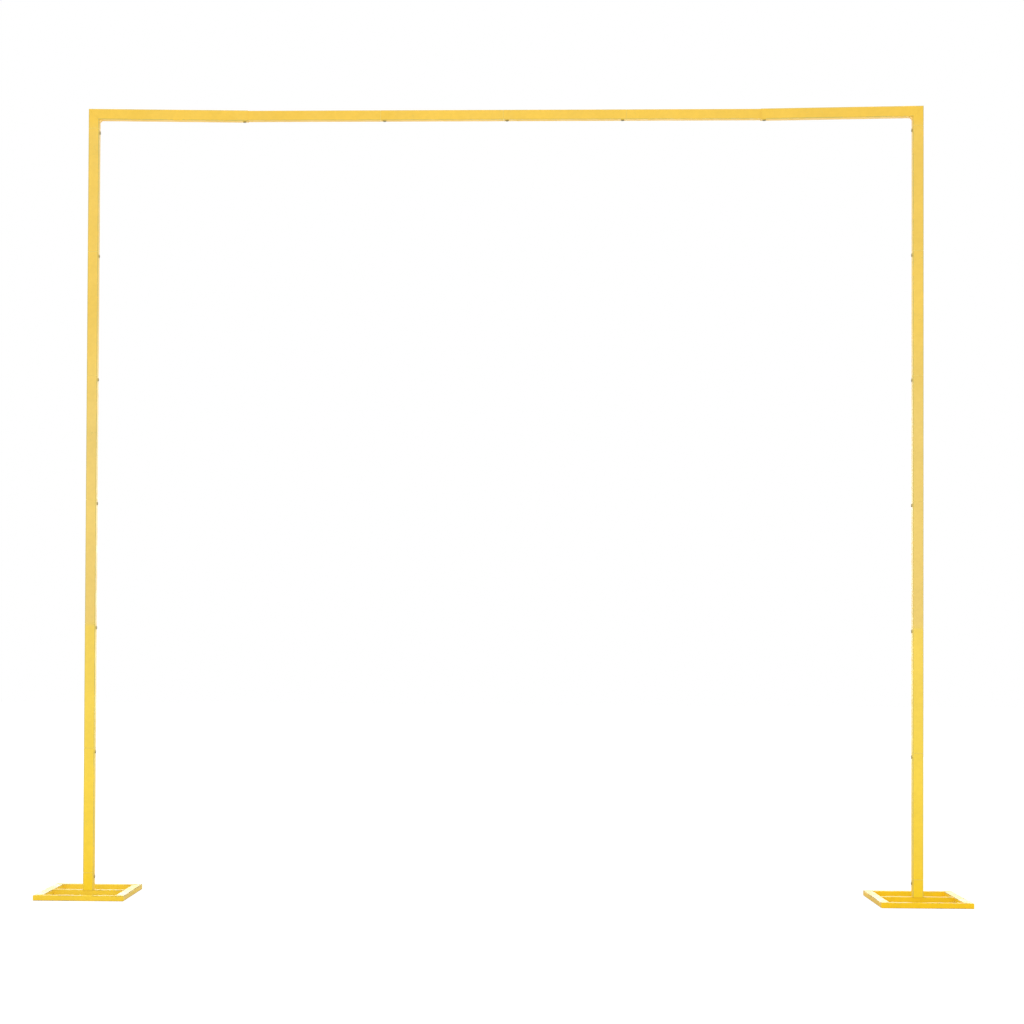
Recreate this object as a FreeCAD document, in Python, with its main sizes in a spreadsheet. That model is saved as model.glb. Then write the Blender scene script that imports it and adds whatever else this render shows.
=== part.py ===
import FreeCAD, Part
import math
import os
import Sketcher

# Wedding arch: a gate-shaped frame of square steel tubes on two welded bar feet.
# The front faces -Y, the width runs along X and the feet stand on z = 0.
# The origin lies on the floor, midway between the two feet.
# Every tube keeps its lower neighbour's mouth plane at its own z = 0 and grows along
# its own +Z, with its screw holes on its own +X side.

Vector = FreeCAD.Vector
Rotation = FreeCAD.Rotation
Placement = FreeCAD.Placement

doc = FreeCAD.newDocument("wedding_arch")
sheet = doc.addObject("Spreadsheet::Sheet", "sizes")

# Driving dimensions, in millimetres and degrees
DRIVING = (
    ("tube_side", 38.0),
    ("tube_wall", 1.2),
    ("tube_corner", 4.0),
    ("slide_clearance", 0.35),
    ("swage_taper", 1.5),
    ("spigot_length", 44.0),
    ("post_tube_length", 448.0),
    ("post_tube_count", 6),
    ("socket_top", 80.0),
    ("elbow_leg", 72.0),
    ("elbow_arm", 578.0),
    ("arm_droop", 0.8),
    ("fillet_leg", 9.0),
    ("fillet_width", 28.0),
    ("end_bar_tube", 481.0),
    ("middle_bar_tube", 441.0),
    ("screw_setback", 13.0),
    ("screw_hole", 8.5),
    ("foot_width", 320.0),
    ("foot_depth", 450.0),
    ("foot_bar_width", 32.0),
    ("foot_bar_height", 19.0),
    ("foot_bar_wall", 1.2),
    ("foot_bar_corner", 2.5),
)

# Dimensions that follow from the driving ones
DERIVED = (
    ("flat_share", "2 - sqrt(2)"),
    ("tube_bore", "tube_side - 2 * tube_wall"),
    ("bore_flat", "flat_share * (tube_corner - tube_wall)"),
    ("spigot_side", "tube_bore - 2 * slide_clearance"),
    ("spigot_flat", "bore_flat - flat_share * slide_clearance"),
    ("spigot_bore", "spigot_side - 2 * tube_wall"),
    ("spigot_bore_flat", "spigot_flat - flat_share * tube_wall"),
    ("bar_side", "spigot_side"),
    ("bar_corner", "tube_corner - tube_wall - slide_clearance"),
    ("bar_bore", "bar_side - 2 * tube_wall"),
    ("bar_bore_flat", "flat_share * (bar_corner - tube_wall)"),
    ("bar_spigot_side", "bar_bore - 2 * slide_clearance"),
    ("bar_spigot_flat", "bar_bore_flat - flat_share * slide_clearance"),
    ("bar_spigot_bore", "bar_spigot_side - 2 * tube_wall"),
    ("bar_spigot_bore_flat", "bar_spigot_flat / 2"),
    ("socket_length", "socket_top - foot_bar_height"),
    ("half_width", "elbow_arm + end_bar_tube + middle_bar_tube"),
    ("post_offset", "half_width - tube_side / 2"),
    ("post_top", "socket_top + post_tube_count * post_tube_length"),
    ("arm_reach", "elbow_arm - tube_side / 2"),
    ("arm_rise", "elbow_leg - tube_side / 2 * (1 / cos(arm_droop * 1 deg) + tan(arm_droop * 1 deg))"),
    ("arm_drop", "arm_reach * tan(arm_droop * 1 deg)"),
    ("foot_bore_width", "foot_bar_width - 2 * foot_bar_wall"),
    ("foot_bore_height", "foot_bar_height - 2 * foot_bar_wall"),
    ("foot_bore_flat", "flat_share * (foot_bar_corner - foot_bar_wall)"),
    ("foot_middle_length", "foot_width - 2 * foot_bar_width"),
)


def write_sheet():
    row = 0
    for alias, size in DRIVING:
        row += 1
        sheet.set("A%d" % row, alias.replace("_", " "))
        sheet.set("B%d" % row, str(size))
        sheet.setAlias("B%d" % row, alias)
    doc.recompute()
    for alias, formula in DERIVED:
        row += 1
        sheet.set("A%d" % row, alias.replace("_", " "))
        sheet.set("B%d" % row, "=" + formula)
        sheet.setAlias("B%d" % row, alias)
        doc.recompute()


def size(alias):
    return float(sheet.get(alias))


def bind(thing, prop, formula):
    thing.setExpression(prop, formula)


def new_body(label):
    body = doc.addObject("PartDesign::Body", label)
    body.Label = label
    return body


def new_feature(body, kind, name):
    return body.newObject("PartDesign::" + kind, body.Label + "_" + name)


def new_sketch(body, name, role, offset=None):
    plane = next(item for item in body.Origin.OriginFeatures if item.Role == role)
    sketch = body.newObject("Sketcher::SketchObject", body.Label + "_" + name)
    sketch.AttachmentSupport = (plane, "")
    sketch.MapMode = "FlatFace"
    if offset is not None:
        bind(sketch, "AttachmentOffset.Base.z", offset)
    return sketch


def dimension(sketch, kind, arguments, name, formula):
    index = sketch.addConstraint(Sketcher.Constraint(kind, *arguments))
    sketch.renameConstraint(index, name)
    bind(sketch, "Constraints." + name, formula)


def cornered_rectangle(sketch, wide, high, corner, flat=False):
    """Closed loop of four sides and four equal corners, centred on the origin.
    A seen corner is an arc. A hidden one is the flat that touches the arc half way round."""
    half_x = size(wide) / 2
    half_y = size(high) / 2
    reach = size(corner)
    first = sketch.GeometryCount
    corners = ((1, -1), (1, 1), (-1, 1), (-1, -1))
    for index, (sx, sy) in enumerate(corners):
        back_x, back_y = corners[index - 1]
        along_x = reach if back_x != sx else 0
        along_y = reach if back_y != sy else 0
        start = Vector(back_x * (half_x - along_x), back_y * (half_y - along_y), 0)
        end = Vector(sx * (half_x - along_x), sy * (half_y - along_y), 0)
        sketch.addGeometry(Part.LineSegment(start, end), False)
    for index, (sx, sy) in enumerate(corners):
        centre = Vector(sx * (half_x - reach), sy * (half_y - reach), 0)
        circle = Part.Circle(centre, Vector(0, 0, 1), reach)
        begin = math.radians(90 * (index - 1))
        arc = Part.ArcOfCircle(circle, begin, begin + math.pi / 2)
        sketch.addGeometry(Part.LineSegment(arc.StartPoint, arc.EndPoint) if flat else arc, False)
    meeting = "Coincident" if flat else "Tangent"
    for index in range(4):
        side = first + index
        turn = first + 4 + index
        following = first + (index + 1) % 4
        sketch.addConstraint(Sketcher.Constraint(meeting, side, 2, turn, 1))
        sketch.addConstraint(Sketcher.Constraint(meeting, turn, 2, following, 1))
        sketch.addConstraint(Sketcher.Constraint("Vertical" if index % 2 else "Horizontal", side))
    for index in range(1, 4):
        sketch.addConstraint(Sketcher.Constraint("Equal", first + 4, first + 4 + index))
        if flat:
            sketch.addConstraint(Sketcher.Constraint("Perpendicular", first + 3 + index, first + 4 + index))
    sketch.addConstraint(Sketcher.Constraint("Symmetric", first, 1, first + 2, 1, -1, 1))
    tag = "loop%d_" % first
    dimension(sketch, "Distance", (first + 1, 1, first + 3, 2, size(wide)), tag + "wide", "sizes." + wide)
    dimension(sketch, "Distance", (first, 1, first + 2, 2, size(high)), tag + "high", "sizes." + high)
    if flat:
        ends = (first + 4, 1, first + 4, 2, reach)
        dimension(sketch, "DistanceX", ends, tag + "corner_wide", "sizes." + corner)
        dimension(sketch, "DistanceY", ends, tag + "corner_high", "sizes." + corner)
    else:
        dimension(sketch, "Radius", (first + 4, reach), tag + "corner", "sizes." + corner)


def profile(body, name, outline, offset):
    side, corner, flat = outline
    sketch = new_sketch(body, name, "XY_Plane", offset)
    cornered_rectangle(sketch, side, side, corner, flat)
    return sketch


def pad(body, name, sketch, length, downward=False):
    feature = new_feature(body, "Pad", name)
    feature.Profile = sketch
    bind(feature, "Length", length)
    feature.Reversed = downward
    return feature


def pocket(body, name, sketch, length, upward=False):
    feature = new_feature(body, "Pocket", name)
    feature.Profile = sketch
    bind(feature, "Length", length)
    feature.Reversed = upward
    return feature


def taper(body, kind, name, wide_end, narrow_end):
    feature = new_feature(body, kind, name)
    feature.Profile = wide_end
    feature.Sections = [narrow_end]
    feature.Ruled = True
    return feature


def add_spigot(body, section):
    """Swaged end: the tube narrows over a short taper to a spigot that enters the next mouth."""
    outer, bore, spigot_outer, spigot_bore = section
    shoulder = "sizes.swage_taper"
    mouth = "0 mm"
    wide_end = profile(body, "swage_top", outer, shoulder)
    narrow_end = profile(body, "swage_bottom", spigot_outer, mouth)
    taper(body, "AdditiveLoft", "swage", wide_end, narrow_end)
    outline = profile(body, "spigot_outline", spigot_outer, mouth)
    pad(body, "spigot", outline, "sizes.spigot_length", downward=True)
    wide_end = profile(body, "swage_bore_top", bore, shoulder)
    narrow_end = profile(body, "swage_bore_bottom", spigot_bore, mouth)
    taper(body, "SubtractiveLoft", "swage_bore", wide_end, narrow_end)
    outline = profile(body, "spigot_bore_outline", spigot_bore, mouth)
    pocket(body, "spigot_bore", outline, "sizes.spigot_length")


def add_screw_hole(body, name, height, side):
    """Round hole through the +X wall only, centred at the given height."""
    sketch = new_sketch(body, name + "_circle", "YZ_Plane", "sizes.%s / 4" % side)
    circle = Part.Circle(Vector(0, size("tube_side"), 0), Vector(0, 0, 1), size("screw_hole") / 2)
    sketch.addGeometry(circle, False)
    sketch.addConstraint(Sketcher.Constraint("PointOnObject", 0, 3, -2))
    dimension(sketch, "DistanceY", (-1, 1, 0, 3, size("tube_side")), "height", height)
    dimension(sketch, "Diameter", (0, size("screw_hole")), "bore", "sizes.screw_hole")
    pocket(body, name, sketch, "sizes.%s / 2" % side, upward=True)


# Square outlines: side, corner, and whether the corner is a flat instead of an arc
POST_SECTION = (
    ("tube_side", "tube_corner", False),
    ("tube_bore", "bore_flat", True),
    ("spigot_side", "spigot_flat", True),
    ("spigot_bore", "spigot_bore_flat", True),
)
BAR_SECTION = (
    ("bar_side", "bar_corner", False),
    ("bar_bore", "bar_bore_flat", True),
    ("bar_spigot_side", "bar_spigot_flat", True),
    ("bar_spigot_bore", "bar_spigot_bore_flat", True),
)


def make_tube(label, section, length, lower, upper):
    """Straight tube. Lower end: spigot, mouth or plain. Upper end: mouth, or plain and inserted."""
    body = new_body(label)
    outer, bore = section[:2]
    start = "sizes.swage_taper" if lower == "spigot" else "0 mm"
    end = length + " + sizes.spigot_length" if upper == "inserted" else length
    straight = "%s - %s" % (end, start) if lower == "spigot" else end
    pad(body, "wall", profile(body, "outline", outer, start), straight)
    pocket(body, "bore", profile(body, "bore_outline", bore, start), straight, upward=True)
    if lower == "spigot":
        add_spigot(body, section)
    if lower == "mouth":
        add_screw_hole(body, "lower_hole", "sizes.screw_setback", outer[0])
    if upper == "mouth":
        add_screw_hole(body, "mouth_hole", length + " - sizes.screw_setback", outer[0])
    return body


def elbow_path(body, name):
    """Centre line of an elbow: up the leg from the shoulder, then out along the drooping arm."""
    sketch = new_sketch(body, name, "XZ_Plane")
    corner = Vector(0, size("arm_rise"), 0)
    far_end = Vector(size("arm_reach"), size("arm_rise") - size("arm_drop"), 0)
    sketch.addGeometry(Part.LineSegment(Vector(0, size("swage_taper"), 0), corner), False)
    sketch.addGeometry(Part.LineSegment(corner, far_end), False)
    sketch.addConstraint(Sketcher.Constraint("Coincident", 0, 2, 1, 1))
    sketch.addConstraint(Sketcher.Constraint("PointOnObject", 0, 1, -2))
    sketch.addConstraint(Sketcher.Constraint("Vertical", 0))
    dimension(sketch, "DistanceY", (-1, 1, 0, 1, size("swage_taper")), "shoulder", "sizes.swage_taper")
    dimension(sketch, "DistanceY", (-1, 1, 0, 2, size("arm_rise")), "rise", "sizes.arm_rise")
    dimension(sketch, "DistanceX", (-1, 1, 1, 2, size("arm_reach")), "reach", "sizes.arm_reach")
    dimension(sketch, "DistanceY", (1, 2, 1, 1, size("arm_drop")), "drop", "sizes.arm_drop")
    return sketch


def sweep(body, kind, name, outline, path):
    feature = new_feature(body, kind, name)
    feature.Profile = outline
    feature.Spine = path
    feature.Transition = "Right corner"
    return feature


def add_corner_fillet(body):
    """Straight fillet that fills the inner corner of the elbow, between the tube's rounded edges."""
    sketch = new_sketch(body, "fillet_outline", "XZ_Plane")
    inner_x = size("tube_side") / 2
    inner_z = size("arm_rise") - inner_x
    leg = size("fillet_leg")
    corner = Vector(inner_x, inner_z, 0)
    points = (corner - Vector(0, leg, 0), corner, corner + Vector(leg, 0, 0))
    for index, point in enumerate(points):
        sketch.addGeometry(Part.LineSegment(point, points[(index + 1) % 3]), False)
    for index in range(3):
        sketch.addConstraint(Sketcher.Constraint("Coincident", index, 2, (index + 1) % 3, 1))
    sketch.addConstraint(Sketcher.Constraint("Vertical", 0))
    sketch.addConstraint(Sketcher.Constraint("Horizontal", 1))
    sketch.addConstraint(Sketcher.Constraint("Equal", 0, 1))
    inside = " - sizes.tube_wall / 2"
    dimension(sketch, "DistanceX", (-1, 1, 1, 1, inner_x), "side", "sizes.tube_side / 2" + inside)
    dimension(sketch, "DistanceY", (-1, 1, 1, 1, inner_z), "level",
              "sizes.arm_rise - sizes.tube_side / 2 + sizes.tube_wall / 2")
    dimension(sketch, "DistanceX", (1, 1, 1, 2, leg), "leg", "sizes.fillet_leg + sizes.tube_wall / 2")
    fillet = pad(body, "corner_fillet", sketch, "sizes.fillet_width")
    fillet.SideType = "Symmetric"


def add_arm_hole(body):
    """Hole through the underside of the arm, set back from its mouth."""
    inside = "sizes.arm_rise - sizes.arm_drop - sizes.tube_side / 4"
    sketch = new_sketch(body, "arm_hole_circle", "XY_Plane", inside)
    reach = size("arm_reach") - size("screw_setback")
    circle = Part.Circle(Vector(reach, 0, 0), Vector(0, 0, 1), size("screw_hole") / 2)
    sketch.addGeometry(circle, False)
    sketch.addConstraint(Sketcher.Constraint("PointOnObject", 0, 3, -1))
    dimension(sketch, "DistanceX", (-1, 1, 0, 3, reach), "reach", "sizes.arm_reach - sizes.screw_setback")
    dimension(sketch, "Diameter", (0, size("screw_hole")), "bore", "sizes.screw_hole")
    pocket(body, "arm_hole", sketch, "sizes.tube_side / 2")


def make_elbow(label):
    """Mitred corner with a short spigoted leg and a long arm that ends in a mouth."""
    body = new_body(label)
    outer, bore = POST_SECTION[:2]
    outline = profile(body, "outline", outer, "sizes.swage_taper")
    sweep(body, "AdditivePipe", "wall", outline, elbow_path(body, "path"))
    add_corner_fillet(body)
    outline = profile(body, "bore_outline", bore, "sizes.swage_taper")
    sweep(body, "SubtractivePipe", "bore", outline, elbow_path(body, "bore_path"))
    add_spigot(body, POST_SECTION)
    add_arm_hole(body)
    return body


def mitre_cut(body, length):
    """Two corner triangles taken off the inner side of a foot bar, at 45 degrees."""
    sketch = new_sketch(body, "mitre_outline", "XY_Plane")
    half = size(length) / 2
    width = size("foot_bar_width")
    for end, sign in enumerate((1, -1)):
        tip = Vector(sign * half, -width / 2, 0)
        outer = Vector(sign * half, width / 2, 0)
        inner = Vector(sign * (half - width), width / 2, 0)
        first = 3 * end
        for start, stop in ((tip, outer), (outer, inner), (inner, tip)):
            sketch.addGeometry(Part.LineSegment(start, stop), False)
        for index in range(3):
            following = first + (index + 1) % 3
            sketch.addConstraint(Sketcher.Constraint("Coincident", first + index, 2, following, 1))
        sketch.addConstraint(Sketcher.Constraint("Vertical", first))
        sketch.addConstraint(Sketcher.Constraint("Horizontal", first + 1))
        sketch.addConstraint(Sketcher.Constraint("Equal", first, first + 1))
        reach = (-1, 1, first, 1, half) if sign > 0 else (first, 1, -1, 1, half)
        dimension(sketch, "DistanceX", reach, "reach%d" % end, "sizes.%s / 2" % length)
        near = (first, 1, -1, 1, width / 2)
        dimension(sketch, "DistanceY", near, "near%d" % end, "sizes.foot_bar_width / 2")
        dimension(sketch, "DistanceY", (first, 1, first, 2, width), "wide%d" % end, "sizes.foot_bar_width")
    cut = pocket(body, "mitres", sketch, "2 * sizes.foot_bar_height")
    cut.SideType = "Symmetric"


def make_foot_bar(label, length, mitred):
    """Flat rectangular tube along its own X, with its outer long side towards -Y."""
    body = new_body(label)
    section = new_sketch(body, "section", "YZ_Plane")
    cornered_rectangle(section, "foot_bar_width", "foot_bar_height", "foot_bar_corner")
    cornered_rectangle(section, "foot_bore_width", "foot_bore_height", "foot_bore_flat", flat=True)
    bar = pad(body, "bar", section, "sizes." + length)
    bar.SideType = "Symmetric"
    if mitred:
        mitre_cut(body, length)
    return body


def place(thing, x, y, z, rotation=None):
    thing.Placement = Placement(Vector(x, y, z), rotation or Rotation())


def turned_about_z(angle):
    return Rotation(Vector(0, 0, 1), angle)


def lying(direction):
    """Tube laid along X with its screw holes underneath; direction is where its +Z points."""
    return Rotation(Vector(0, 0, -1), Vector(0, direction, 0), Vector(direction, 0, 0), "XZY")


def build_posts(pieces):
    for side_name, sign in (("left", -1), ("right", 1)):
        facing = turned_about_z(0 if sign < 0 else 180)
        for index in range(int(size("post_tube_count"))):
            label = "%s_post_tube_%d" % (side_name, index + 1)
            tube = make_tube(label, POST_SECTION, "sizes.post_tube_length", "spigot", "mouth")
            level = size("socket_top") + index * size("post_tube_length")
            place(tube, sign * size("post_offset"), 0, level, facing)
            pieces.append(tube)
        elbow = make_elbow(side_name + "_elbow")
        place(elbow, sign * size("post_offset"), 0, size("post_top"), facing)
        pieces.append(elbow)


def bar_level():
    """Height of the bar's centre line: that of the arm, half way along the inserted end."""
    reach = size("arm_reach") - size("spigot_length") / 2
    slope = math.tan(math.radians(size("arm_droop")))
    return size("post_top") + size("arm_rise") - reach * slope


def build_bar(pieces):
    level = bar_level()
    joint = size("middle_bar_tube")
    end_length = "sizes.end_bar_tube"
    middle_length = "sizes.middle_bar_tube"
    tubes = (("bar_tube_1", end_length, "spigot", "inserted", -joint, -1),
             ("bar_tube_2", middle_length, "spigot", "mouth", 0, -1),
             ("bar_tube_3", middle_length, "mouth", "mouth", 0, 1),
             ("bar_tube_4", end_length, "spigot", "inserted", joint, 1))
    for label, length, lower, upper, x, direction in tubes:
        tube = make_tube(label, BAR_SECTION, length, lower, upper)
        place(tube, x, 0, level, lying(direction))
        pieces.append(tube)


def build_foot(pieces, side_name, sign):
    centre = sign * size("post_offset")
    level = size("foot_bar_height") / 2
    across = (size("foot_width") - size("foot_bar_width")) / 2
    along = (size("foot_depth") - size("foot_bar_width")) / 2
    outward = -90 if sign < 0 else 90
    bars = (("front_bar", "foot_width", True, 0, -along, 0),
            ("rear_bar", "foot_width", True, 0, along, 180),
            ("outer_bar", "foot_depth", True, sign * across, 0, outward),
            ("inner_bar", "foot_depth", True, -sign * across, 0, -outward),
            ("middle_bar", "foot_middle_length", False, 0, 0, 0))
    for name, length, mitred, x, y, angle in bars:
        bar = make_foot_bar("%s_foot_%s" % (side_name, name), length, mitred)
        place(bar, centre + x, y, level, turned_about_z(angle))
        pieces.append(bar)
    socket = make_tube(side_name + "_foot_socket", POST_SECTION, "sizes.socket_length", "plain", "mouth")
    place(socket, centre, 0, size("foot_bar_height"), turned_about_z(0 if sign < 0 else 180))
    pieces.append(socket)


def check(pieces):
    doc.recompute()
    faults = []
    for thing in doc.Objects:
        if "Invalid" in thing.State or "Error" in thing.State:
            faults.append("%s is %s" % (thing.Name, thing.State))
    for piece in pieces:
        if piece.Shape.isNull() or not piece.Shape.isValid():
            faults.append("%s has no valid shape" % piece.Label)
    if faults:
        raise RuntimeError("; ".join(faults))


def export(pieces):
    os.makedirs("parts", exist_ok=True)
    for piece in pieces:
        piece.Shape.exportStep("parts/%s.step" % piece.Label)


write_sheet()
arch = []
build_foot(arch, "left", -1)
build_foot(arch, "right", 1)
build_posts(arch)
build_bar(arch)
check(arch)
export(arch)
print("%d pieces, %.0f mm wide, %.0f mm tall" % (
    len(arch), 2 * size("half_width"), size("post_top") + size("elbow_leg")))
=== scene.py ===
import math

import bmesh
import bpy
from mathutils import Matrix, Vector
from mathutils.bvhtree import BVHTree


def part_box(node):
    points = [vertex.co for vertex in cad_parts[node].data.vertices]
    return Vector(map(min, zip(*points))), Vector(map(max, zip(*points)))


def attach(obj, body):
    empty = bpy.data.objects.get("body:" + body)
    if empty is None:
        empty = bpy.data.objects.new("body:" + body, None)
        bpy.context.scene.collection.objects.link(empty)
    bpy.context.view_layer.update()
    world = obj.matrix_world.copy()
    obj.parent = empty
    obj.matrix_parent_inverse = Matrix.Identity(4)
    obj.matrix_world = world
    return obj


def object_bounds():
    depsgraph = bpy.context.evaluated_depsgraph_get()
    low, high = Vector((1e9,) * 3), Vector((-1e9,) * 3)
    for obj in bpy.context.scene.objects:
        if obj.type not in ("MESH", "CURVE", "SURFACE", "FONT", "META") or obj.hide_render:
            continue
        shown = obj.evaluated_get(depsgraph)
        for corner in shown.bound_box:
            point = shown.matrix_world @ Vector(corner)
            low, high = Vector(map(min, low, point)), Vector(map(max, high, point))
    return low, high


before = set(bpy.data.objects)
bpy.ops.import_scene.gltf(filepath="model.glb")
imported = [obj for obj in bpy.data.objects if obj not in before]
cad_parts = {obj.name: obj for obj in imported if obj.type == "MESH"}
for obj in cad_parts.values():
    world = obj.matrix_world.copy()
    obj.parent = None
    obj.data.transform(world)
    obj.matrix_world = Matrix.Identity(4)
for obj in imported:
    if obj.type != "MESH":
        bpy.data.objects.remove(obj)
cad_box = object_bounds()

# Wedding arch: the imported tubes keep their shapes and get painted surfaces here.
# Added pieces: the dull screws that clamp each joint and the weld beads of feet and elbows.
# Lengths are in metres, angles in radians unless the name says degrees, and colours are linear
# red, green, blue.

MM = 0.001
UP = Vector((0, 0, 1))
SIDES = (("left", -1), ("right", 1))
POST_TUBES = 6

# Screws: a button head with a hexagonal key socket, set back from the mouth of the tube
SCREW_SETBACK = 13 * MM
HEAD_RADIUS = 6.5 * MM
HEAD_HEIGHT = 3.4 * MM
HEAD_RIM = 0.9 * MM
HEAD_BEVEL = 0.25 * MM
CROWN_SHARE = 0.62
DOME_STEPS = 6
SHANK_RADIUS = 4 * MM
SHANK_LENGTH = 1.5 * MM
KEY_FACETS = 6
KEY_RADIUS = 2.9 * MM
KEY_DEPTH = 2.2 * MM
KEY_BEVEL = 0.25 * MM
KEY_BEVEL_DEPTH = 0.2 * MM
SCREW_SEGMENTS = 36
SPIN_DEGREES = 23
SEAT_ASIDE = 9 * MM
SEAT_REACH = 50 * MM

# Weld beads
RIPPLE_PITCH = 2.4 * MM
RIPPLE_STEPS = 6
RIPPLE_DEPTH = 0.22
BEAD_SEGMENTS = 10
BEAD_TIP = 0.35
SOCKET_BEAD = 2.3 * MM
SOCKET_TUCK = 1.4 * MM
SOCKET_INSET = 3 * MM
CORNER_BEAD = 2.0 * MM
CORNER_INSET = 1.5 * MM
SEAM_BEAD = 2.2 * MM
SEAM_PROUD = 0.4 * MM
SEAM_INSET = 2 * MM
GROUND_BEAD = 0.8 * SEAM_BEAD
GROUND_PROUD = 0.15 * MM
GROUND_INSET = 3.5 * MM
TOE_BEAD = 1.8 * MM
TOE_PROUD = 1.2 * MM
FILLET_LEG = 9 * MM
FILLET_WIDTH = 28 * MM

# Colours. Shades are stops over the height, from 0 at the floor to 1 at the top.
# The frame's paler and deeper bands over the height are painted light and shade, following how the light
# falls along the posts and the bar.
FRAME_SHADES = (
    (0.00, (0.990, 0.668, 0.001)),
    (0.045, (0.970, 0.674, 0.032)),
    (0.19, (0.955, 0.685, 0.066)),
    (0.340, (0.930, 0.665, 0.095)),
    (0.345, (0.880, 0.630, 0.154)),
    (0.60, (0.880, 0.630, 0.150)),
    (0.72, (0.915, 0.617, 0.094)),
    (0.97, (0.920, 0.610, 0.092)),
    (0.985, (0.955, 0.607, 0.060)),
)
# The feet are one paint, and the left one's paler tone is painted light. Both grow a little paler upwards.
FOOT_SHADES = {
    "left": ((0.0, (0.940, 0.635, 0.040)), (1.0, (0.940, 0.660, 0.046))),
    "right": ((0.0, (0.940, 0.588, 0.009)), (1.0, (0.940, 0.610, 0.013))),
}
# Both edge colours darken the rounded corners: partly rubbed paint, partly painted shade where the corners
# turn from the light.
FRAME_EDGE = (0.61, 0.51, 0.13)
# The pale taper colour is painted light: it lightens the groove at each seam, where shade falls.
TAPER_PAINTED_LIGHT = (0.99, 0.83, 0.27)
FOOT_EDGE = (0.20, 0.15, 0.035)
SCREW_BRONZE = (0.50, 0.42, 0.20)
SCREW_RUBBED = (0.68, 0.60, 0.40)

# Paint finishes: the darkened corners, partly wear and partly painted shade, as the corner value where
# they start and their strength, then roughness and specular level. A strength of 0 leaves the corners
# plain.
SIDE_BAR_FINISH = ((0.55, 0.95), 0.28, 0.33)
CROSS_BAR_FINISH = ((0.90, 0.80), 0.40, 0.17)
FOOT_WELD_FINISH = ((1.0, 0.0), 0.34, 0.33)
TUBE_FINISH = ((0.53, 0.85), 0.38, 0.35)
ELBOW_WELD_FINISH = ((1.0, 0.0), 0.42, 0.35)

# Where corners darken, partly by wear and partly by painted shade: an axis, and its share of the normal
# where the darkening is absent and where it is full
ELBOW_WEAR_AND_SHADE = ("Y", 0.05, 0.20)
POST_WEAR_AND_SHADE = ("Z", 0.30, 0.15)
BAR_WEAR_AND_SHADE = ("X", 0.30, 0.15)

# The normal's largest share, on flat faces and on fully rounded corners
FLAT_NORMAL = 0.999
CORNER_NORMAL = 0.90

# The normal's share along the tube, where the painted light on a taper begins and where it is full
TAPER_NORMALS = (0.35, 0.55)

# How far above the topmost post tube the elbow's own taper may reach
ELBOW_TAPER = 3 * MM

# Noise: scale per metre, detail, roughness
CLOUD_NOISE = (4.0, 4.0, 0.55)
MOTTLE_NOISE = (75.0, 5.0, 0.6)
SPECK_NOISE = (900.0, 2.0, 0.5)
PATCH_NOISE = (14.0, 3.0, 0.6)
RAGGED_NOISE = (240.0, 5.0, 0.7)
TOUCH_NOISE = (11.0, 5.0, 0.6)
PEEL_NOISE = (620.0, 2.0, 0.5)
GRAIN_NOISE = (2400.0, 1.0, 0.5)
STEEL_RUB_NOISE = (320.0, 4.0, 0.6)
STEEL_TOUCH_NOISE = (700.0, 3.0, 0.5)
STEEL_GRAIN_NOISE = (1500.0, 2.0, 0.5)

# What noise becomes: its low and high value, then the results there
CLOUD_TONES = (0.30, 0.72, 0.955, 1.03)
MOTTLE_TONES = (0.3, 0.7, 0.97, 1.02)
SPECK_TONES = (0.70, 0.76, 1.0, 0.80)
STEEL_RUBBING = (0.55, 0.78, 0.0, 0.6)
STEEL_ROUGHNESS = (0.3, 0.7, 0.36, 0.52)

# Strengths of the noise, the roughness and the bumps in the paint and the steel
PATCH_WEIGHT = 2.2
RAGGED_WEIGHT = 2.4
WEAR_AND_SHADE_FADE = 0.4
TOUCH_SPAN = (0.3, 0.7)
TOUCH_SMOOTHER = 0.05
TOUCH_ROUGHER = 0.07
RUBBED_ROUGHER = 0.3
GRAIN_WEIGHT = 0.35
PEEL_STRENGTH = 0.45
PEEL_DEPTH = 0.14 * MM
STEEL_METALLIC = 0.85
STEEL_GRAIN_STRENGTH = 0.3
STEEL_GRAIN_DEPTH = 0.04 * MM

# Camera, fitted to the arch's corners. Its sensor is measured in millimetres.
IMAGE_PIXELS = 1024
FOCAL_PIXELS = 2508
SHIFT_X_PIXELS = 100
SHIFT_Y_PIXELS = 80
SENSOR_WIDTH = 36
CAMERA_PLACE = (0.0402, -9.0, 0.8971)
CAMERA_YAW = 0.04016
CAMERA_PITCH = 0.0220
CAMERA_ROLL = 0.00483

# Floor and surroundings: sizes, greys and strengths
FLOOR_HALF = 30.0
FLOOR_DROP = 0.2 * MM
FLOOR_BOUNCE = 0.9
FLOOR_MIRRORED = 0.38
FLOOR_SHOWN = 0.32
FLOOR_GLOW = 0.80
SURROUND_LIGHT = 0.83
SURROUND_SHOWN = 1.0

# Lamps: name, place, what it points at, width, height, power in watts
LAMPS = (
    ("key", (-0.6, -12.0, 3.5), (0, 0, 1.4), 6.0, 4.0, 175),
    ("top", (0.0, 1.5, 9.0), (0, 0, 0), 7.0, 5.0, 260),
    ("back", (0.0, 12.0, 1.6), (0, 0, 0.2), 12.0, 3.0, 175),
)

# Colour sockets of the Mix node, which has a set of sockets for each kind of data
MIX_SHARE, MIX_FIRST, MIX_SECOND = 0, 6, 7
MIX_RESULT = 2


# Small helpers for shader nodes

def add_node(tree, kind, **settings):
    node = tree.nodes.new("ShaderNode" + kind)
    for name, value in settings.items():
        setattr(node, name, value)
    return node


def feed(tree, source, target, socket):
    """Links a node's first output, or a given output socket, to an input."""
    output = source if isinstance(source, bpy.types.NodeSocket) else source.outputs[0]
    tree.links.new(output, target.inputs[socket])


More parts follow.
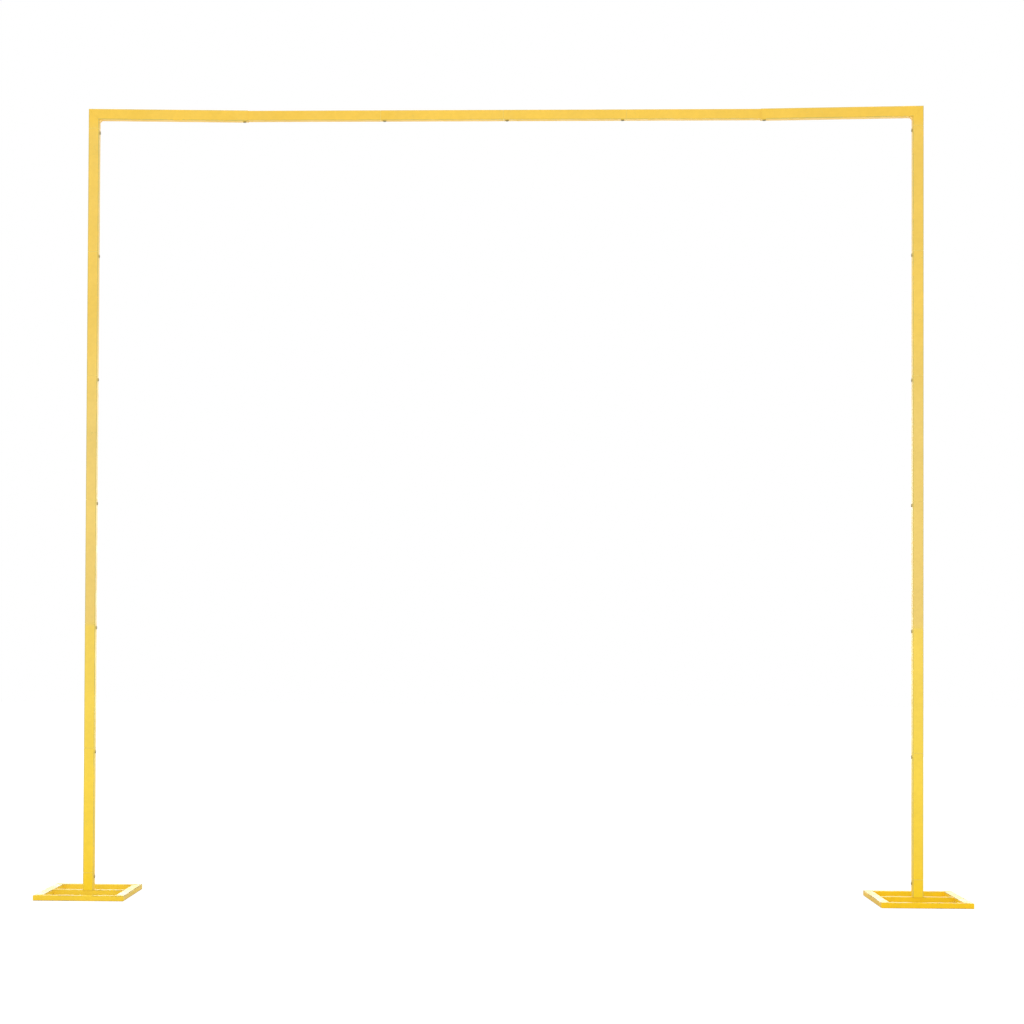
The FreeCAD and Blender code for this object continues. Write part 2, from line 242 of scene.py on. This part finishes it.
def calculate(tree, operation, first, second):
    node = add_node(tree, "Math", operation=operation)
    for index, value in enumerate((first, second)):
        if isinstance(value, (int, float)):
            node.inputs[index].default_value = value
        else:
            feed(tree, value, node, index)
    return node


def remap(tree, source, low, high, new_low=0.0, new_high=1.0):
    node = add_node(tree, "MapRange", interpolation_type="SMOOTHSTEP")
    feed(tree, source, node, "Value")
    for name, value in (("From Min", low), ("From Max", high), ("To Min", new_low), ("To Max", new_high)):
        node.inputs[name].default_value = value
    return node


def noise(tree, coordinates, scale, detail, roughness):
    node = add_node(tree, "TexNoise")
    feed(tree, coordinates, node, "Vector")
    node.inputs["Scale"].default_value = scale
    node.inputs["Detail"].default_value = detail
    node.inputs["Roughness"].default_value = roughness
    return node


def mix_colour(tree, share, first, second, blend="MIX"):
    node = add_node(tree, "Mix", data_type="RGBA", blend_type=blend)
    for socket, value in ((MIX_SHARE, share), (MIX_FIRST, first), (MIX_SECOND, second)):
        if isinstance(value, (int, float)):
            node.inputs[socket].default_value = value
        elif isinstance(value, tuple):
            node.inputs[socket].default_value = (*value, 1.0)
        else:
            feed(tree, value, node, socket)
    return node.outputs[MIX_RESULT]


def colour_ramp(tree, source, stops):
    node = add_node(tree, "ValToRGB")
    feed(tree, source, node, "Fac")
    elements = node.color_ramp.elements
    middle = 0.5
    while len(elements) < len(stops):
        elements.new(middle)
    for element, (position, colour) in zip(elements, stops):
        element.position = position
        element.color = (*colour, 1.0)
    return node


def add_bump(tree, surface, relief, strength, depth):
    bump = add_node(tree, "Bump")
    bump.inputs["Strength"].default_value = strength
    bump.inputs["Distance"].default_value = depth
    feed(tree, relief, bump, "Height")
    feed(tree, bump, surface, "Normal")


def new_material(name):
    material = bpy.data.materials.new(name)
    material.use_nodes = True
    tree = material.node_tree
    return material, tree, tree.nodes["Principled BSDF"]


def grey(level):
    return (level, level, level)


# Paint and steel

def normal_sizes(tree):
    """How far the surface normal leans towards X, Y and Z, each as a node from 0 to 1."""
    geometry = add_node(tree, "NewGeometry")
    parts = add_node(tree, "SeparateXYZ")
    feed(tree, geometry.outputs["Normal"], parts, 0)
    return {axis: calculate(tree, "ABSOLUTE", parts.outputs[axis], 0.0) for axis in "XYZ"}


def corner_mask(tree, sizes, limits):
    """1 on the rounded corners of the tubes, 0 on their flat faces, from the surface normal.
    Limits name an axis and its share of the normal where the darkened corner, partly wear and partly
    painted shade, is absent and where it is full."""
    larger = calculate(tree, "MAXIMUM", sizes["X"], sizes["Y"])
    largest = calculate(tree, "MAXIMUM", larger, sizes["Z"])
    rounded = remap(tree, largest, FLAT_NORMAL, CORNER_NORMAL)
    if limits is None:
        return rounded
    axis, unworn, worn = limits
    return calculate(tree, "MULTIPLY", rounded, remap(tree, sizes[axis], unworn, worn))


def height_shade(tree, altitude, height, shades):
    """The shades, spread from the floor up to the given height."""
    level = add_node(tree, "MapRange")
    feed(tree, altitude, level, "Value")
    level.inputs["From Max"].default_value = height
    return colour_ramp(tree, level, shades)


def uneven_tone(tree, place):
    """Cloudy and mottled brightness with small dark specks."""
    cloud = remap(tree, noise(tree, place, *CLOUD_NOISE), *CLOUD_TONES)
    mottle = remap(tree, noise(tree, place, *MOTTLE_NOISE), *MOTTLE_TONES)
    specks = remap(tree, noise(tree, place, *SPECK_NOISE), *SPECK_TONES)
    return calculate(tree, "MULTIPLY", calculate(tree, "MULTIPLY", cloud, mottle), specks)


def worn_and_shaded_share(tree, place, corners, wear_and_shade):
    """0 where the corners are plain, and up to the given strength in ragged patches on the corners: partly
    rubbed paint, partly painted shade where the rounded corners turn from the light.
    """
    threshold, strength = wear_and_shade
    patches = calculate(tree, "MULTIPLY", noise(tree, place, *PATCH_NOISE), PATCH_WEIGHT)
    ragged = calculate(tree, "MULTIPLY", noise(tree, place, *RAGGED_NOISE), RAGGED_WEIGHT)
    usual = (PATCH_WEIGHT + RAGGED_WEIGHT) / 2
    uneven = calculate(tree, "SUBTRACT", calculate(tree, "ADD", patches, ragged), usual)
    reach = calculate(tree, "ADD", corners, uneven)
    return remap(tree, reach, threshold, threshold + WEAR_AND_SHADE_FADE, 0.0, strength)


def paint(name, shades, height, edge, wear_and_shade, roughness, specular, limits=None, swage=None):
    """Satin paint: painted light and shade along the height, cloudy tone, specks, orange peel, and
    darkened corners that are partly rubbed paint and partly painted shade.
    Limits are those of corner_mask, and the pair for the darkened corners is the one the corner share
    takes.
    Swage names the axis of the tapers that get a pale painted light over the seam grooves, and the height
    they end below."""
    material, tree, surface = new_material(name)
    place = add_node(tree, "TexCoord").outputs["Object"]
    parts = add_node(tree, "SeparateXYZ")
    feed(tree, place, parts, 0)
    altitude = parts.outputs["Z"]
    sizes = normal_sizes(tree)

    # The shades over the height carry painted light and shade.
    shade = height_shade(tree, altitude, height, shades)
    toned = mix_colour(tree, 1.0, shade, uneven_tone(tree, place), "MULTIPLY")
    marked = worn_and_shaded_share(tree, place, corner_mask(tree, sizes, limits), wear_and_shade)
    # The darkened corners: partly rubbed paint, partly painted shade.
    colour = mix_colour(tree, marked, toned, edge)
    # Painted light on the tapers: a pale colour over the groove at each seam.
    if swage is not None:
        axis, limit = swage
        tapered = remap(tree, sizes[axis], *TAPER_NORMALS)
        below = calculate(tree, "LESS_THAN", altitude, limit)
        colour = mix_colour(tree, calculate(tree, "MULTIPLY", tapered, below), colour, TAPER_PAINTED_LIGHT)
    feed(tree, colour, surface, "Base Color")

    roughness_span = (roughness - TOUCH_SMOOTHER, roughness + TOUCH_ROUGHER)
    touched = remap(tree, noise(tree, place, *TOUCH_NOISE), *TOUCH_SPAN, *roughness_span)
    rougher = calculate(tree, "MULTIPLY", marked, RUBBED_ROUGHER)
    feed(tree, calculate(tree, "ADD", touched, rougher), surface, "Roughness")
    surface.inputs["Specular IOR Level"].default_value = specular

    grain = calculate(tree, "MULTIPLY", noise(tree, place, *GRAIN_NOISE), GRAIN_WEIGHT)
    relief = calculate(tree, "ADD", noise(tree, place, *PEEL_NOISE), grain)
    add_bump(tree, surface, relief, PEEL_STRENGTH, PEEL_DEPTH)
    return material


def dull_steel(name):
    """Screw steel dulled to an olive bronze, rubbed brighter in patches."""
    material, tree, surface = new_material(name)
    place = add_node(tree, "TexCoord").outputs["Object"]
    marked = remap(tree, noise(tree, place, *STEEL_RUB_NOISE), *STEEL_RUBBING)
    feed(tree, mix_colour(tree, marked, SCREW_BRONZE, SCREW_RUBBED), surface, "Base Color")
    touched = remap(tree, noise(tree, place, *STEEL_TOUCH_NOISE), *STEEL_ROUGHNESS)
    feed(tree, touched, surface, "Roughness")
    surface.inputs["Metallic"].default_value = STEEL_METALLIC
    grain = noise(tree, place, *STEEL_GRAIN_NOISE)
    add_bump(tree, surface, grain, STEEL_GRAIN_STRENGTH, STEEL_GRAIN_DEPTH)
    return material


def dress(name, material):
    """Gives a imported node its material."""
    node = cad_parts[name]
    node.data.materials.clear()
    node.data.materials.append(material)


def paint_feet(foot_height):
    """Paints the bars of both feet, the left foot a little paler than the right one, which is painted
    light, and the cross bars duller than the side bars. Returns each foot's weld paint."""
    weld_paints = {}
    for side, shades in FOOT_SHADES.items():
        look = (shades, foot_height, FOOT_EDGE)
        side_paint = paint(side + "_foot_side_paint", *look, *SIDE_BAR_FINISH)
        cross_paint = paint(side + "_foot_cross_paint", *look, *CROSS_BAR_FINISH)
        weld_paints[side] = paint(side + "_foot_weld_paint", *look, *FOOT_WELD_FINISH)
        for bar in ("outer", "inner"):
            dress("%s_foot_%s_bar" % (side, bar), side_paint)
        for bar in ("front", "middle", "rear"):
            dress("%s_foot_%s_bar" % (side, bar), cross_paint)
    return weld_paints


def paint_frame(arch_height):
    """Paints the sockets, the posts, the elbows and the bar. Returns the paint of the elbows' welds."""
    look = (FRAME_SHADES, arch_height, FRAME_EDGE)
    tube_look = (*look, *TUBE_FINISH)
    top_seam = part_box("left_post_tube_%d" % POST_TUBES)[1].z + ELBOW_TAPER
    elbow_paint = paint("elbow_gold_paint", *tube_look, limits=ELBOW_WEAR_AND_SHADE, swage=("Z", top_seam))
    post_paint = paint("post_gold_paint", *tube_look, limits=POST_WEAR_AND_SHADE, swage=("Z", arch_height))
    bar_paint = paint("bar_gold_paint", *tube_look, limits=BAR_WEAR_AND_SHADE, swage=("X", arch_height))
    kinds = (
        ("_foot_socket", post_paint),
        ("_post_", post_paint),
        ("_elbow", elbow_paint),
        ("bar_tube_", bar_paint),
    )
    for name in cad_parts:
        for part, finish in kinds:
            if part in name:
                dress(name, finish)
    return paint("elbow_weld_paint", *look, *ELBOW_WELD_FINISH)


# Meshes of the added pieces

def new_piece(name, mesh, material):
    mesh.materials.append(material)
    piece = bpy.data.objects.new(name, mesh)
    bpy.context.scene.collection.objects.link(piece)
    for polygon in mesh.polygons:
        polygon.use_smooth = True
    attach(piece, "root")
    return piece


def close_loops(work, loops):
    """Faces from each loop of vertices to the next, and a cap on both ends."""
    for back, front in zip(loops, loops[1:]):
        for index in range(len(back)):
            following = (index + 1) % len(back)
            work.faces.new((back[index], back[following], front[following], front[index]))
    work.faces.new(list(reversed(loops[0])))
    work.faces.new(loops[-1])


def make_mesh(name, work):
    mesh = bpy.data.meshes.new(name)
    work.to_mesh(mesh)
    work.free()
    return mesh


def screw_rings():
    """From the shank's end to the floor of the key socket: radius, height, and whether it has facets."""
    crown = CROWN_SHARE * HEAD_RADIUS
    rings = [
        (SHANK_RADIUS, -SHANK_LENGTH, False),
        (SHANK_RADIUS, 0.0, False),
        (HEAD_RADIUS - HEAD_BEVEL, 0.0, False),
        (HEAD_RADIUS, HEAD_BEVEL, False),
        (HEAD_RADIUS, HEAD_RIM, False),
    ]
    for step in range(1, DOME_STEPS + 1):
        turn = step / DOME_STEPS * math.pi / 2
        radius = crown + (HEAD_RADIUS - crown) * math.cos(turn)
        rise = HEAD_RIM + (HEAD_HEIGHT - HEAD_RIM) * math.sin(turn)
        rings.append((radius, rise, False))
    rings.append((KEY_RADIUS + KEY_BEVEL, HEAD_HEIGHT, True))
    rings.append((KEY_RADIUS, HEAD_HEIGHT - KEY_BEVEL_DEPTH, True))
    rings.append((KEY_RADIUS, HEAD_HEIGHT - KEY_DEPTH, True))
    return rings


def screw_mesh():
    """Button head with a hexagonal key socket, seated at z = 0 and pointing along +Z."""
    facet = 2 * math.pi / KEY_FACETS
    work = bmesh.new()
    loops = []
    for radius, rise, has_facets in screw_rings():
        loop = []
        for index in range(SCREW_SEGMENTS):
            angle = 2 * math.pi * index / SCREW_SEGMENTS
            reach = radius
            if has_facets:
                within = (angle % facet) - facet / 2
                reach = radius * math.cos(facet / 2) / math.cos(within)
            loop.append(work.verts.new((reach * math.cos(angle), reach * math.sin(angle), rise)))
        loops.append(loop)
    close_loops(work, loops)
    return make_mesh("screw", work)


def bead_mesh(name, runs):
    """Rippled weld beads. Each run is its start and end, and its width and height vectors."""
    work = bmesh.new()
    for start, end, wide, high in runs:
        count = max(1, round((end - start).length / (RIPPLE_PITCH / RIPPLE_STEPS)))
        loops = []
        for index in range(count + 1):
            phase = (index % RIPPLE_STEPS) / RIPPLE_STEPS
            swell = 1.0 - RIPPLE_DEPTH * phase ** 2
            from_tip = min(index, count - index)
            taper = min(1.0, BEAD_TIP + (1 - BEAD_TIP) * from_tip / RIPPLE_STEPS)
            centre = start.lerp(end, index / count)
            loop = []
            for step in range(BEAD_SEGMENTS):
                turn = 2 * math.pi * step / BEAD_SEGMENTS
                offset = wide * math.cos(turn) + high * math.sin(turn)
                loop.append(work.verts.new(centre + offset * swell * taper))
            loops.append(loop)
        close_loops(work, loops)
    bmesh.ops.recalc_face_normals(work, faces=work.faces)
    return make_mesh(name, work)


# Screws and welds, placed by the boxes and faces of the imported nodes

def seat(node, point, outward):
    """The place of a screw on the node's surface, and the surface's normal there. A ray that runs
    against outward finds both beside the screw hole, and the place is moved back over the hole."""
    faces = BVHTree.FromObject(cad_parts[node], bpy.context.evaluated_depsgraph_get())
    beside = Vector((0, SEAT_ASIDE, 0))
    location, normal, _, _ = faces.ray_cast(point + beside + outward * SEAT_REACH, -outward)
    return location - beside, normal


def put_screw(name, mesh, material, node, point, outward):
    """Seats a screw on a node. The length of its name sets how far it is turned."""
    place, normal = seat(node, point, outward)
    piece = new_piece(name, mesh.copy(), material)
    turn = normal.to_track_quat("Z", "Y").to_matrix().to_4x4()
    spin = Matrix.Rotation(math.radians(SPIN_DEGREES * len(name)), 4, "Z")
    piece.data.transform(Matrix.Translation(place) @ turn @ spin)


def put_screws(material):
    mesh = screw_mesh()
    for side, sign in SIDES:
        inward = Vector((-sign, 0, 0))
        nodes = [side + "_foot_socket"]
        nodes += ["%s_post_tube_%d" % (side, index) for index in range(1, POST_TUBES + 1)]
        for index, node in enumerate(nodes, start=1):
            low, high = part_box(node)
            point = Vector(((low.x + high.x) / 2, 0, high.z - SCREW_SETBACK))
            put_screw("%s_post_screw_%d" % (side, index), mesh, material, node, point, inward)
    down = Vector((0, 0, -1))
    middle = (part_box("bar_tube_2")[0].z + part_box("bar_tube_2")[1].z) / 2
    spots = (
        ("left_elbow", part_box("left_elbow")[1].x - SCREW_SETBACK),
        ("bar_tube_2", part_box("bar_tube_2")[0].x + SCREW_SETBACK),
        ("bar_tube_3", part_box("bar_tube_3")[0].x + SCREW_SETBACK),
        ("bar_tube_3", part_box("bar_tube_3")[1].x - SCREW_SETBACK),
        ("right_elbow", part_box("right_elbow")[0].x + SCREW_SETBACK),
    )
    for index, (node, x) in enumerate(spots, start=1):
        put_screw("bar_screw_%d" % index, mesh, material, node, Vector((x, 0, middle)), down)


def socket_runs(side, top):
    """Two beads on top of the middle bar, beside the socket, and two against the bar's walls, under
    the socket's overhanging edges."""
    socket_low, socket_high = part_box(side + "_foot_socket")
    middle_low, middle_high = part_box(side + "_foot_middle_bar")
    runs = []
    for x in (socket_low.x, socket_high.x):
        start = Vector((x, middle_low.y + SOCKET_INSET, top))
        end = Vector((x, middle_high.y - SOCKET_INSET, top))
        runs.append((start, end, Vector((SOCKET_BEAD, 0, 0)), UP * SOCKET_BEAD))
    for y in (middle_low.y, middle_high.y):
        start = Vector((socket_low.x + SOCKET_INSET, y, top - SOCKET_TUCK))
        end = Vector((socket_high.x - SOCKET_INSET, y, top - SOCKET_TUCK))
        runs.append((start, end, Vector((0, SOCKET_BEAD, 0)), UP * SOCKET_BEAD))
    return runs


def corner_run(base, top):
    """An upright bead in an inner corner of the foot, from near the floor to near the bars' top."""
    start = base + UP * CORNER_INSET
    end = base + UP * (top - CORNER_INSET)
    return start, end, Vector((CORNER_BEAD, 0, 0)), Vector((0, CORNER_BEAD, 0))


def foot_runs(side, top):
    """Seams along the mitres and the middle bar's ends, with a bead in each inner corner."""
    front_low, front_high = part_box(side + "_foot_front_bar")
    middle_low, middle_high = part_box(side + "_foot_middle_bar")
    rear_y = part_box(side + "_foot_rear_bar")[1].y
    bar_width = front_high.y - front_low.y
    seam_height = UP * SEAM_PROUD
    runs = []
    for x, inner_x in ((front_low.x, 1), (front_high.x, -1)):
        for y, inner_y in ((front_low.y, 1), (rear_y, -1)):
            diagonal = Vector((inner_x, inner_y, 0))
            outer = Vector((x, y, top)) + diagonal * SEAM_INSET
            inner = Vector((x, y, top)) + diagonal * (bar_width - SEAM_INSET / 2)
            across = Vector((inner_x, -inner_y, 0)).normalized() * SEAM_BEAD
            runs.append((outer, inner, across, seam_height))
            runs.append(corner_run(Vector((x, y, 0)) + diagonal * bar_width, top))
    for x in (middle_low.x, middle_high.x):
        start = Vector((x, middle_low.y + SEAM_INSET, top))
        end = Vector((x, middle_high.y - SEAM_INSET, top))
        runs.append((start, end, Vector((SEAM_BEAD, 0, 0)), seam_height))
        for y in (middle_low.y, middle_high.y):
            runs.append(corner_run(Vector((x, y, 0)), top))
    return runs


def weld_foot(side, material):
    """Beads round the socket, along the mitres, and where the middle bar meets the side bars."""
    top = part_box(side + "_foot_front_bar")[1].z
    socket_beads = bead_mesh("socket_weld", socket_runs(side, top))
    new_piece(side + "_foot_socket_weld", socket_beads, material)
    foot_beads = bead_mesh("foot_welds", foot_runs(side, top))
    new_piece(side + "_foot_welds", foot_beads, material)


def weld_elbow(side, sign, material):
    """Ground seams across the mitre's two faces and a bead along each toe of the inner corner's fillet."""
    elbow_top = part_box(side + "_elbow")[1].z
    post_low, post_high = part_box(side + "_post_tube_%d" % POST_TUBES)
    half = (post_high.x - post_low.x) / 2
    axis_x = (post_low.x + post_high.x) / 2
    outer_corner = Vector((axis_x + sign * half, 0, elbow_top))
    inner_corner = Vector((axis_x - sign * half, 0, elbow_top - 2 * half))
    mitre = (outer_corner - inner_corner).normalized()
    across = Vector((mitre.z, 0, -mitre.x)) * GROUND_BEAD
    runs = []
    for facing in (-1, 1):
        face = Vector((0, facing * half, 0))
        start = outer_corner + face - mitre * GROUND_INSET
        end = inner_corner + face + mitre * GROUND_INSET
        runs.append((start, end, across, Vector((0, GROUND_PROUD, 0))))
    outward = Vector((sign, 0, 0))
    reach = Vector((0, FILLET_WIDTH / 2, 0))
    for along, proud in ((UP, outward), (outward, UP)):
        toe = inner_corner - along * FILLET_LEG
        runs.append((toe - reach, toe + reach, along * TOE_BEAD, proud * TOE_PROUD))
    new_piece(side + "_elbow_welds", bead_mesh("elbow_welds", runs), material)


# Studio

def make_camera():
    """The photograph's viewpoint."""
    data = bpy.data.cameras.new("camera")
    data.sensor_width = SENSOR_WIDTH
    data.lens = FOCAL_PIXELS / IMAGE_PIXELS * data.sensor_width
    data.shift_x = SHIFT_X_PIXELS / IMAGE_PIXELS
    data.shift_y = SHIFT_Y_PIXELS / IMAGE_PIXELS
    camera = bpy.data.objects.new("camera", data)
    aim = Matrix.Rotation(CAMERA_YAW, 4, "Z") @ Matrix.Rotation(math.pi / 2 + CAMERA_PITCH, 4, "X")
    roll = Matrix.Rotation(CAMERA_ROLL, 4, "Z")
    camera.matrix_world = Matrix.Translation(CAMERA_PLACE) @ aim @ roll
    bpy.context.scene.collection.objects.link(camera)
    bpy.context.scene.camera = camera


def floor_material():
    """Near white to the camera, with the arch's shadow. It bounces light, and mirrors as a mid grey."""
    material, tree, surface = new_material("floor_white")
    tree.nodes.remove(surface)
    seen = add_node(tree, "LightPath").outputs["Is Camera Ray"]
    mirrored = add_node(tree, "LightPath").outputs["Is Glossy Ray"]
    bounce = add_node(tree, "BsdfDiffuse")
    bounce_grey = mix_colour(tree, mirrored, grey(FLOOR_BOUNCE), grey(FLOOR_MIRRORED))
    feed(tree, bounce_grey, bounce, "Color")
    shown = add_node(tree, "BsdfDiffuse")
    shown.inputs["Color"].default_value = (*grey(FLOOR_SHOWN), 1)
    glow = add_node(tree, "Emission")
    glow.inputs["Strength"].default_value = FLOOR_GLOW
    lit = add_node(tree, "AddShader")
    feed(tree, shown, lit, 0)
    feed(tree, glow, lit, 1)
    choice = add_node(tree, "MixShader")
    feed(tree, seen, choice, 0)
    feed(tree, bounce, choice, 1)
    feed(tree, lit, choice, 2)
    feed(tree, choice, tree.nodes["Material Output"], "Surface")
    return material


def make_floor():
    mesh = bpy.data.meshes.new("floor")
    corners = [(x * FLOOR_HALF, y * FLOOR_HALF, 0) for x, y in ((-1, -1), (1, -1), (1, 1), (-1, 1))]
    mesh.from_pydata(corners, [], [(0, 1, 2, 3)])
    mesh.materials.append(floor_material())
    floor = bpy.data.objects.new("floor", mesh)
    floor.location.z = -FLOOR_DROP
    bpy.context.scene.collection.objects.link(floor)


def make_world():
    """Soft white surroundings, pure white to the camera and in reflections."""
    world = bpy.data.worlds.new("studio")
    bpy.context.scene.world = world
    world.use_nodes = True
    tree = world.node_tree
    background = tree.nodes["Background"]
    background.inputs["Color"].default_value = (*grey(1), 1)
    path = add_node(tree, "LightPath")
    plain = calculate(tree, "MAXIMUM", path.outputs["Is Camera Ray"], path.outputs["Is Glossy Ray"])
    plain = calculate(tree, "MAXIMUM", plain, path.outputs["Is Transmission Ray"])
    strength = add_node(tree, "MapRange")
    feed(tree, plain, strength, "Value")
    strength.inputs["To Min"].default_value = SURROUND_LIGHT
    strength.inputs["To Max"].default_value = SURROUND_SHOWN
    feed(tree, strength, background, "Strength")


def add_lamp(name, place, target, width, height, power):
    data = bpy.data.lights.new(name, "AREA")
    data.shape = "RECTANGLE"
    data.size = width
    data.size_y = height
    data.energy = power
    lamp = bpy.data.objects.new(name, data)
    lamp.location = place
    lamp.rotation_mode = "QUATERNION"
    lamp.rotation_quaternion = (Vector(target) - Vector(place)).to_track_quat("-Z", "Y")
    lamp.visible_camera = False
    bpy.context.scene.collection.objects.link(lamp)


def make_studio():
    make_camera()
    make_floor()
    make_world()
    for lamp in LAMPS:
        add_lamp(*lamp)
    bpy.context.scene.view_settings.view_transform = "Standard"


# The dressed arch


make_studio()
foot_weld_paints = paint_feet(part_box("left_foot_socket")[1].z)
elbow_weld_paint = paint_frame(cad_box[1].z)
put_screws(dull_steel("dulled_screw_steel"))
for side, sign in SIDES:
    weld_foot(side, foot_weld_paints[side])
    weld_elbow(side, sign, elbow_weld_paint)
